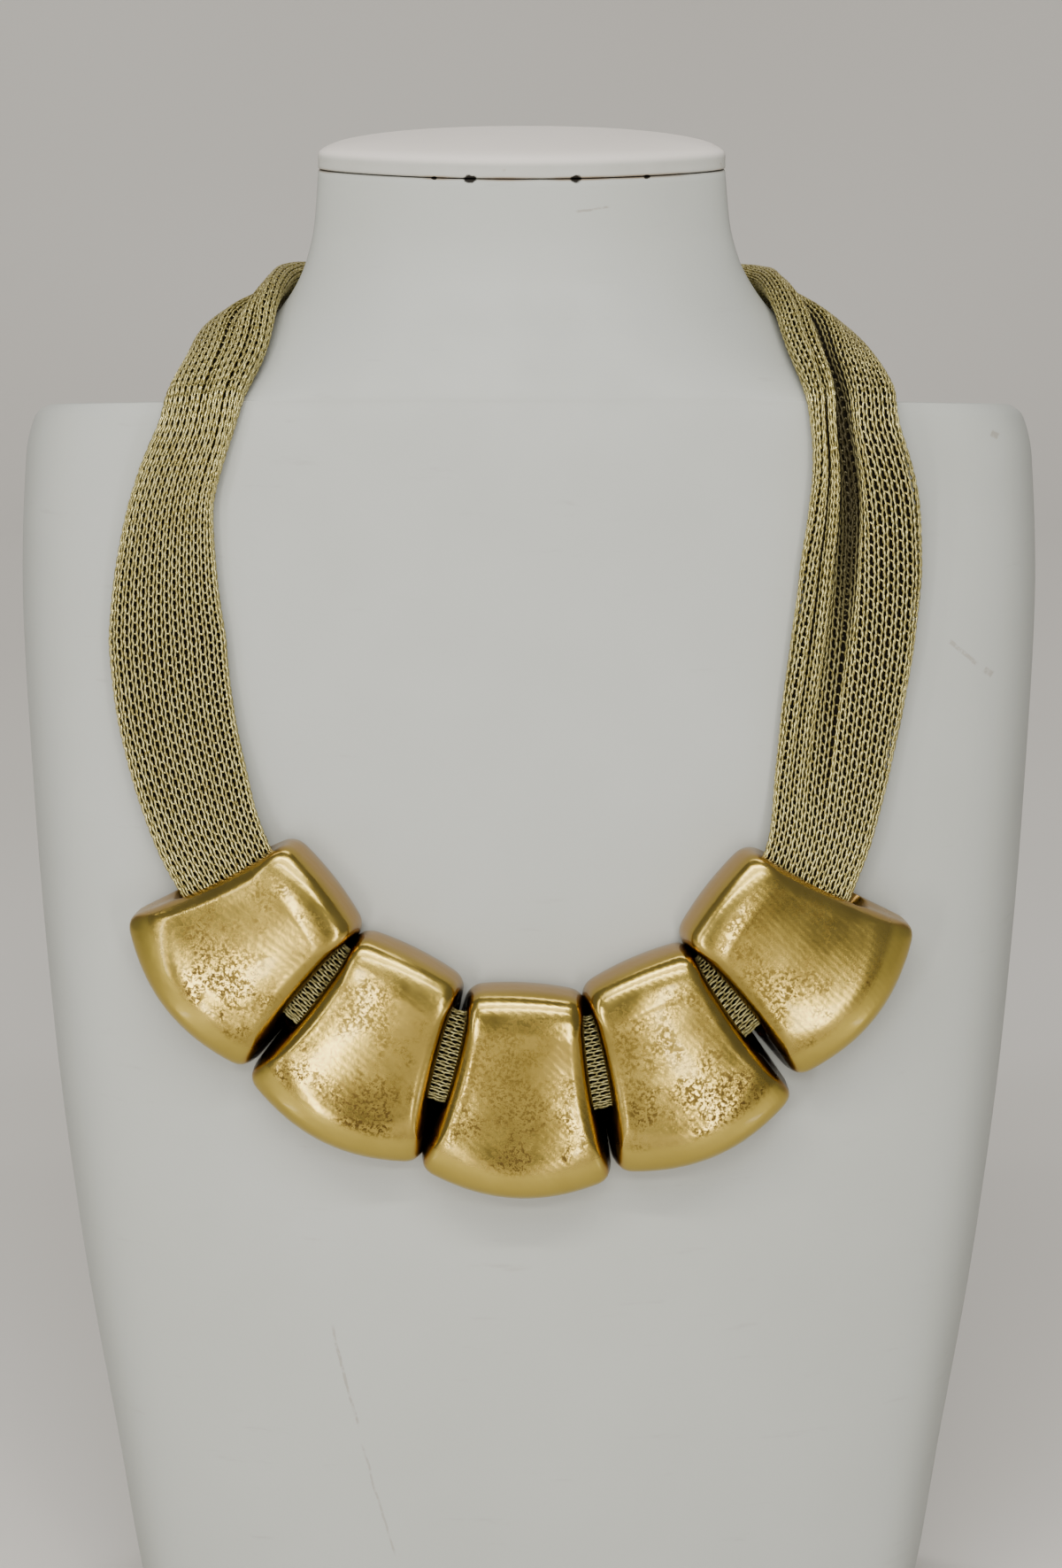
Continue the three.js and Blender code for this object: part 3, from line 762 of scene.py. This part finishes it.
def build_knit(name, grid, normals, hollow, first, last):
    """The knit's courses from first up to last, each one a closed strand round the band."""
    count = wales * stitch_segments
    step = np.arange(count)
    turn = 2 * math.pi * step / stitch_segments
    wale = step / stitch_segments + loop_neck * np.sin(2 * turn) - loop_belly * np.sin(turn)
    rise = -loop_height / 2 * np.cos(turn)
    course = np.arange(first, last)[:, None] + 0.5
    side = np.clip((courses / 2 - course) / lean_ease, -1, 1)
    course = course + loop_lean * side * np.sin(2 * math.pi * wale / wales)
    u = np.broadcast_to(wale * wale_cells, (len(course), count))
    v = (course + rise) * course_cells
    normal = unit(on_grid(normals, u, v))
    middle = on_grid(grid, u, v) - normal * (loop_depth * np.cos(2 * turn))[:, None]
    along = unit(np.roll(middle, -1, 1) - np.roll(middle, 1, 1))
    across = unit(np.cross(along, normal))
    upward = np.cross(across, along)
    corner = 2 * math.pi * (np.arange(strand_sides) + 0.5) / strand_sides
    within = np.clip((bead_courses - np.abs(course - courses / 2)) / bead_ease, 0, 1)
    radius = (strand_radius * (1 - between_thin * within))[..., None, None]
    tube = middle[:, :, None] + radius * (
        across[:, :, None] * np.cos(corner)[:, None] + upward[:, :, None] * np.sin(corner)[:, None]
    )
    one = ring_quads(count, strand_sides, close_rows=True)
    size = count * strand_sides
    quads = (one[None] + size * np.arange(len(course))[:, None, None]).reshape(-1, 4)
    piece = make_piece(name, tube.reshape(-1, 3), quads)
    # Painted shade: darker by how deep the strand lies in a fold, and by a fixed share among the beads
    depth = on_grid(hollow[..., None], u, v)[..., 0]
    depth = np.maximum(depth, between_shade * within)
    add_attribute(piece.data, "hollow", np.repeat(depth.ravel(), strand_sides))
    return piece


knit_parts = [
    # name, first course, one past the last
    ("knit_left_nape", 0, 44),
    ("knit_left", 44, 90),
    ("knit_front", 90, 158),
    ("knit_right", 158, 204),
    ("knit_right_nape", 204, 248),
]


def build_band():
    rings, shadow_sheet_rings = band_rings()
    grid = band_grid(rings, wales * wale_cells, courses * course_cells + 1)
    hollow, grid = grid[..., 3], grid[..., :3]
    normals = grid_normals(grid)
    grid = grid - normals * knit_depth
    pieces = [build_knit(name, grid, normals, hollow, *span) for name, *span in knit_parts]
    # The near-black sheet of painted shade inside the knit tube
    inner = band_grid(shadow_sheet_rings, 60, 300)
    shadow_sheet = closed_loft("knit_shadow_sheet", inner, inner[0].mean(0), inner[-1].mean(0))
    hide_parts("mesh_band")
    return pieces, shadow_sheet


# Materials

def new_material(name):
    material = bpy.data.materials.new(name)
    material.use_nodes = True
    return material, Nodes(material.node_tree)


class Nodes:
    """Short ways to add the nodes of one material and join them."""

    def __init__(self, tree):
        self.tree = tree
        self.shader = tree.nodes["Principled BSDF"]
        self.place = self.add("ShaderNodeTexCoord").outputs["Object"]

    def add(self, kind, **values):
        node = self.tree.nodes.new(kind)
        for key, value in values.items():
            setattr(node, key, value)
        return node

    def join(self, source, target):
        self.tree.links.new(source, target)

    def feed(self, socket, value):
        if isinstance(value, bpy.types.NodeSocket):
            self.join(value, socket)
        else:
            socket.default_value = value

    def noise(self, scale, detail=2.0, roughness=0.5, place=None):
        node = self.add("ShaderNodeTexNoise")
        node.inputs["Scale"].default_value = scale
        node.inputs["Detail"].default_value = detail
        node.inputs["Roughness"].default_value = roughness
        self.join(place or self.place, node.inputs["Vector"])
        return node.outputs["Fac"]

    def stretched(self, scale, turn):
        node = self.add("ShaderNodeMapping")
        node.inputs["Scale"].default_value = scale
        node.inputs["Rotation"].default_value = turn
        self.join(self.place, node.inputs["Vector"])
        return node.outputs["Vector"]

    def attribute(self, name):
        return self.add("ShaderNodeAttribute", attribute_name=name).outputs["Fac"]

    def axis(self, name):
        node = self.add("ShaderNodeSeparateXYZ")
        self.join(self.place, node.inputs[0])
        return node.outputs[name]

    def math(self, operation, a, b=0.0):
        node = self.add("ShaderNodeMath", operation=operation)
        self.feed(node.inputs[0], a)
        self.feed(node.inputs[1], b)
        return node.outputs[0]

    def span(self, value, low, high, out_low=0.0, out_high=1.0):
        node = self.add("ShaderNodeMapRange", interpolation_type="SMOOTHSTEP")
        self.feed(node.inputs["Value"], value)
        node.inputs["From Min"].default_value = low
        node.inputs["From Max"].default_value = high
        node.inputs["To Min"].default_value = out_low
        node.inputs["To Max"].default_value = out_high
        return node.outputs["Result"]

    def mix(self, share, a, b):
        node = self.add("ShaderNodeMix", data_type="RGBA")
        self.feed(node.inputs["Factor"], share)
        for socket, value in ((node.inputs[6], a), (node.inputs[7], b)):
            self.feed(socket, value if isinstance(value, bpy.types.NodeSocket) else (*value, 1))
        return node.outputs[2]

    def bump(self, height, strength, distance, under=None):
        node = self.add("ShaderNodeBump")
        node.inputs["Strength"].default_value = strength
        node.inputs["Distance"].default_value = distance
        self.join(height, node.inputs["Height"])
        if under is not None:
            self.join(under, node.inputs["Normal"])
        return node.outputs["Normal"]

    def set(self, name, value):
        self.feed(self.shader.inputs[name], value)


def put_material(obj, material):
    obj.data.materials.clear()
    obj.data.materials.append(material)


scratches = [
    # x and z where it starts and ends, half its width, all in metres, and its strength
    (-0.0475, 0.101, -0.0410, 0.074, 0.00022, 0.5),
    (-0.0405, 0.071, -0.0324, 0.040, 0.00018, 0.4),
    (0.0107, 0.3613, 0.0189, 0.3621, 0.00018, 0.5),
    (0.0987, 0.2628, 0.1060, 0.2560, 0.00030, 0.45),
    (0.1075, 0.2552, 0.1098, 0.2535, 0.00045, 0.45),
    (0.1085, 0.3097, 0.1105, 0.3085, 0.00040, 0.5),
]
# Notches across the seam, painted near black as the shade inside them
seam_marks = [
    # x and z of its middle, half its width and height, in metres
    (-0.0136, 0.36875, 0.0015, 0.0009),
    (0.0109, 0.36875, 0.0012, 0.0009),
    (-0.0220, 0.36875, 0.0006, 0.0004),
    (0.0275, 0.36865, 0.0008, 0.0005),
]


def scratch_mask(n, x, z, wobble, start_x, start_z, end_x, end_z, half_width, strength):
    """How strongly one fine straight scratch on the front shows at each place."""
    length = math.hypot(end_x - start_x, end_z - start_z)
    way_x, way_z = (end_x - start_x) / length, (end_z - start_z) / length

    def reach(share_x, share_z):
        offset = start_x * share_x + start_z * share_z
        total = n.math("ADD", n.math("MULTIPLY", x, share_x), n.math("MULTIPLY", z, share_z))
        return n.math("SUBTRACT", total, offset)

    off = n.math("ABSOLUTE", n.math("ADD", reach(way_z, -way_x), wobble))
    past = n.math("ABSOLUTE", n.math("SUBTRACT", reach(way_x, way_z), length / 2))
    thin = n.span(off, half_width, half_width * 2.2, strength, 0)
    return n.math("MULTIPLY", thin, n.span(past, length * 0.4, length * 0.5, 1, 0))


def shade_seam_notches(n, colour, x, z):
    """The colour with painted shade in the small notches across the seam: near black and dull where they
    are.
    """
    rough_edge = n.math("SUBTRACT", n.noise(900, 2), 0.5)
    marks = 0.0
    for at_x, at_z, half_width, half_height in seam_marks:
        off_x = n.math("POWER", n.math("DIVIDE", n.math("SUBTRACT", x, at_x), half_width), 2)
        off_z = n.math("POWER", n.math("DIVIDE", n.math("SUBTRACT", z, at_z), half_height), 2)
        off = n.math("ADD", n.math("ADD", off_x, off_z), n.math("MULTIPLY", rough_edge, 2.0))
        marks = n.math("MAXIMUM", n.span(off, 0.6, 1.5, 0.98, 0), marks)
    marks = n.math("MULTIPLY", marks, n.math("LESS_THAN", n.axis("Y"), 0))
    n.set("Specular IOR Level", n.math("SUBTRACT", 0.5, n.math("MULTIPLY", marks, 0.45)))
    return n.mix(marks, colour, (0.008, 0.006, 0.004))


def seam_line(n, colour, z, clear, dark, strength, stain):
    """The colour with a brown line that comes and goes, from the height clear to the height dark."""
    line = n.span(n.noise(55, 3), 0.38, 0.62, 0.1, strength)
    return n.mix(n.math("MULTIPLY", n.span(z, clear, dark), line), colour, stain)


def leather_relief(n, swell):
    """The fine grain and soft swells of a leathery cover."""
    grain = n.bump(n.noise(900, 2), 0.10, 0.0003)
    return n.bump(n.noise(swell, 2), 0.25, 0.002, grain)


def bust_material():
    material, n = new_material("leatherette")
    cloud = n.noise(14, 3)
    colour = n.mix(cloud, (0.325, 0.332, 0.295), (0.385, 0.392, 0.36))
    scuff = n.noise(1, 4, 0.7, n.stretched((40, 40, 260), (0, 0.35, 0)))
    colour = n.mix(n.span(scuff, 0.62, 0.78, 0, 0.3), colour, (0.23, 0.22, 0.19))
    x, z = n.axis("X"), n.axis("Z")
    wobble = n.math("MULTIPLY", n.math("SUBTRACT", n.noise(160, 2), 0.5), 0.0012)
    marks = 0.0
    for scratch in scratches:
        marks = n.math("MAXIMUM", scratch_mask(n, x, z, wobble, *scratch), marks)
    marks = n.math("MULTIPLY", marks, n.math("LESS_THAN", n.axis("Y"), -0.005))
    marks = n.math("MULTIPLY", marks, n.span(n.noise(700, 2), 0.35, 0.55, 0.3, 1))
    colour = n.mix(marks, colour, (0.19, 0.16, 0.115))
    colour = seam_line(n, colour, z, 0.36815, 0.36855, 0.8, (0.16, 0.11, 0.06))
    colour = shade_seam_notches(n, colour, x, z)
    n.set("Base Color", colour)
    n.set("Roughness", n.span(n.noise(60, 2), 0.3, 0.7, 0.52, 0.66))
    n.set("Normal", leather_relief(n, 25))
    return material


def cap_material():
    material, n = new_material("cap_leatherette")
    x, z = n.axis("X"), n.axis("Z")
    top = n.mix(n.noise(18, 3), (0.53, 0.485, 0.43), (0.63, 0.585, 0.53))
    side = n.mix(n.noise(120, 3), (0.33, 0.325, 0.285), (0.41, 0.405, 0.365))
    colour = n.mix(n.span(z, 0.3716, 0.3735), side, top)
    colour = seam_line(n, colour, z, 0.36955, 0.3691, 0.7, (0.19, 0.13, 0.07))
    specks = n.math("MULTIPLY", n.span(n.noise(420, 3), 0.66, 0.76), n.span(n.noise(60, 1), 0.55, 0.7))
    colour = n.mix(n.math("MULTIPLY", specks, 0.4), colour, (0.24, 0.18, 0.12))
    colour = shade_seam_notches(n, colour, x, z)
    n.set("Base Color", colour)
    n.set("Roughness", 0.6)
    n.set("Normal", leather_relief(n, 30))
    return material


def gold_material():
    material, n = new_material("antique_gold")
    bevel, plateau, rim = n.attribute("bevel"), n.attribute("plateau"), n.attribute("rim")
    tone = n.noise(90, 3, 0.6)
    colour = n.mix(tone, (0.29, 0.20, 0.036), (0.44, 0.32, 0.07))
    colour = n.mix(n.math("MULTIPLY", bevel, 0.6), colour, (0.48, 0.36, 0.065))
    colour = n.mix(n.math("MULTIPLY", rim, 0.8), colour, (0.36, 0.19, 0.04))
    # Painted shade: near black on the sides that face another bead
    colour = n.mix(n.attribute("flank_shade"), colour, (0.05, 0.022, 0.01))
    # Patina: fine specks, thick in the worn patches and towards the outer edge
    specks = n.span(n.noise(1150, 4, 0.75), 0.44, 0.56)
    field = n.math("ADD", n.noise(75, 4, 0.65), n.math("MULTIPLY", n.attribute("worn"), 0.2))
    field = n.span(field, 0.47, 0.62, 0.10, 1)
    low = n.span(n.attribute("from_outer"), 34, 10, 0.7, 1.0)
    dirt = n.math("MULTIPLY", n.math("MULTIPLY", specks, field), n.math("MULTIPLY", plateau, low))
    colour = n.mix(n.math("MULTIPLY", dirt, 0.92), colour, (0.05, 0.028, 0.009))
    n.set("Base Color", colour)
    n.set("Metallic", 1.0)
    rough = n.span(tone, 0.3, 0.7, 0.18, 0.26)
    rough = n.math("ADD", rough, n.math("MULTIPLY", dirt, 0.25))
    rough = n.math("ADD", rough, n.math("MULTIPLY", bevel, 0.12))
    n.set("Roughness", rough)
    n.set("Coat Weight", n.span(dirt, 0, 0.5, 0.25, 0))
    n.set("Coat Roughness", 0.08)
    weave = n.add("ShaderNodeTexWave", wave_type="BANDS", bands_direction="DIAGONAL")
    weave.inputs["Scale"].default_value = 260
    weave.inputs["Distortion"].default_value = 1.5
    weave.inputs["Detail Scale"].default_value = 3
    n.join(n.place, weave.inputs["Vector"])
    # A faint weave, fine grain and soft dents in the plating
    fine = n.bump(weave.outputs["Fac"], 0.04, 0.0002)
    fine = n.bump(n.noise(800, 3), 0.14, 0.0002, fine)
    n.set("Normal", n.bump(n.noise(110, 2), 0.12, 0.0008, fine))
    return material


def knit_material():
    material, n = new_material("knit_wire")
    tone = n.span(n.noise(1400, 2, 0.6), 0.32, 0.68)
    colour = n.mix(tone, (0.26, 0.21, 0.06), (0.62, 0.55, 0.24))
    # Painted shade: strands deep in the folds and among the beads are painted near black and less metallic
    painted_shade = n.span(n.attribute("hollow"), 0.08, 0.82)
    colour = n.mix(n.math("MULTIPLY", painted_shade, 0.95), colour, (0.02, 0.015, 0.006))
    n.set("Base Color", colour)
    n.set("Metallic", n.span(painted_shade, 0, 1, 0.9, 0.3))
    n.set("Specular IOR Level", 0.2)
    n.set("Roughness", n.span(n.noise(500, 2), 0.3, 0.7, 0.28, 0.42))
    n.set("Normal", n.bump(n.noise(2600, 1), 0.25, 0.0001))
    return material


# Near black: the painted shade inside the knit tube, seen through the holes of the knit
def shadow_sheet_material():
    material, n = new_material("knit_shadow")
    tone = n.noise(1100, 2, 0.6)
    n.set("Base Color", n.mix(tone, (0.002, 0.0015, 0.001), (0.012, 0.009, 0.004)))
    n.set("Roughness", 0.9)
    n.set("Specular IOR Level", 0.1)
    n.set("Normal", n.bump(tone, 0.6, 0.0004))
    return material


# Floor, backdrop and lights

floor_front, floor_back, wall_round, wall_top, backdrop_half = -2.6, 1.3, 0.6, 2.6, 3.2


def build_stage():
    profile = [(floor_front, 0.0), (0.2, 0.0), (floor_back, 0.0)]
    for i in range(1, 17):
        turn = math.pi / 2 * i / 16
        profile.append((
            floor_back + wall_round * math.sin(turn),
            wall_round - wall_round * math.cos(turn),
        ))
    profile.append((floor_back + wall_round, wall_top))
    profile = np.array(profile)
    across = np.linspace(-backdrop_half, backdrop_half, 9)
    y, x = np.meshgrid(profile[:, 0], across, indexing="ij")
    z = np.repeat(profile[:, 1:], len(across), 1)
    points = np.stack([x, y, z], -1).reshape(-1, 3)
    columns = len(across)
    r, c = np.meshgrid(np.arange(len(profile) - 1), np.arange(columns - 1), indexing="ij")
    corner = r * columns + c
    quads = np.stack([corner, corner + 1, corner + columns + 1, corner + columns], -1)
    mesh = bpy.data.meshes.new("backdrop")
    mesh.from_pydata(points.tolist(), [], quads.reshape(-1, 4).tolist())
    mesh.polygons.foreach_set("use_smooth", np.ones(len(mesh.polygons), bool))
    backdrop = bpy.data.objects.new("backdrop", mesh)
    scene.collection.objects.link(backdrop)
    material, n = new_material("backdrop_paper")
    n.set("Base Color", n.mix(n.noise(1.1, 2), (0.43, 0.405, 0.36), (0.62, 0.60, 0.56)))
    n.set("Roughness", 0.9)
    mesh.materials.append(material)


neutral_white = (1.0, 0.99, 0.97)
soft_white = (1.0, 0.99, 0.98)
warm_white = (1.0, 0.98, 0.95)
wall_white = (1.0, 0.98, 0.96)
at_beads = (0, -0.03, 0.2)
# The near panels make the streaks on the beads, and the low ones lie flat and face up
lights = [
    # name, place, what it points at, width, height, watts, colour
    ("top_strip", (0.0, -0.95, 1.40), at_beads, 1.3, 0.07, 12, neutral_white),
    ("front_strip", (0.0, -1.42, 0.95), at_beads, 1.1, 0.13, 10, neutral_white),
    ("soft", (-0.2, -1.6, 2.0), at_beads, 2.2, 1.0, 30, soft_white),
    ("right_near", (0.22, -0.77, 0.155), at_beads, 0.07, 0.29, 1.4, warm_white),
    ("left_near", (-0.30, -0.70, 0.155), at_beads, 0.06, 0.29, 1.4, warm_white),
    ("left_strip", (-1.10, -1.20, 0.48), at_beads, 0.08, 0.95, 4, warm_white),
    ("backdrop_wash", (-0.35, 0.5, 2.3), (0, 1.6, 0.3), 2.4, 0.6, 25, wall_white),
    ("right_low", (0.29, -0.27, 0.004), (0.29, -0.27, 1.004), 0.030, 0.10, 0.09, warm_white),
    ("left_low", (-0.30, -0.28, 0.004), (-0.30, -0.28, 1.004), 0.030, 0.10, 0.09, warm_white),
]


def build_lights():
    for name, place, target, width, height, watts, colour in lights:
        data = bpy.data.lights.new(name, "AREA")
        data.shape = "RECTANGLE"
        data.size, data.size_y = width, height
        data.energy = watts
        data.color = colour
        light = bpy.data.objects.new(name, data)
        light.location = place
        light.rotation_euler = (Vector(target) - light.location).to_track_quat("-Z", "Y").to_euler()
        light.visible_camera = False
        scene.collection.objects.link(light)
    world = bpy.data.worlds.new("studio")
    scene.world = world
    world.use_nodes = True
    world.node_tree.nodes["Background"].inputs["Color"].default_value = (0.93, 0.95, 1.0, 1)
    world.node_tree.nodes["Background"].inputs["Strength"].default_value = 0.3


# The whole

bust = build_bust()
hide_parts("bust_body")
cap = build_cap()
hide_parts("bust_cap")
beads = build_beads()
knit_pieces, shadow_sheet = build_band()

gold = gold_material()
knit = knit_material()
put_material(bust, bust_material())
put_material(cap, cap_material())
for bead in beads:
    put_material(bead, gold)
for piece in knit_pieces:
    put_material(piece, knit)
put_material(shadow_sheet, shadow_sheet_material())
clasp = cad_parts["clasp"]
clasp.data.materials.clear()
clasp.data.materials.append(gold)

for piece in [bust, cap, shadow_sheet, *beads, *knit_pieces]:
    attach(piece, "root")

build_stage()
build_lights()
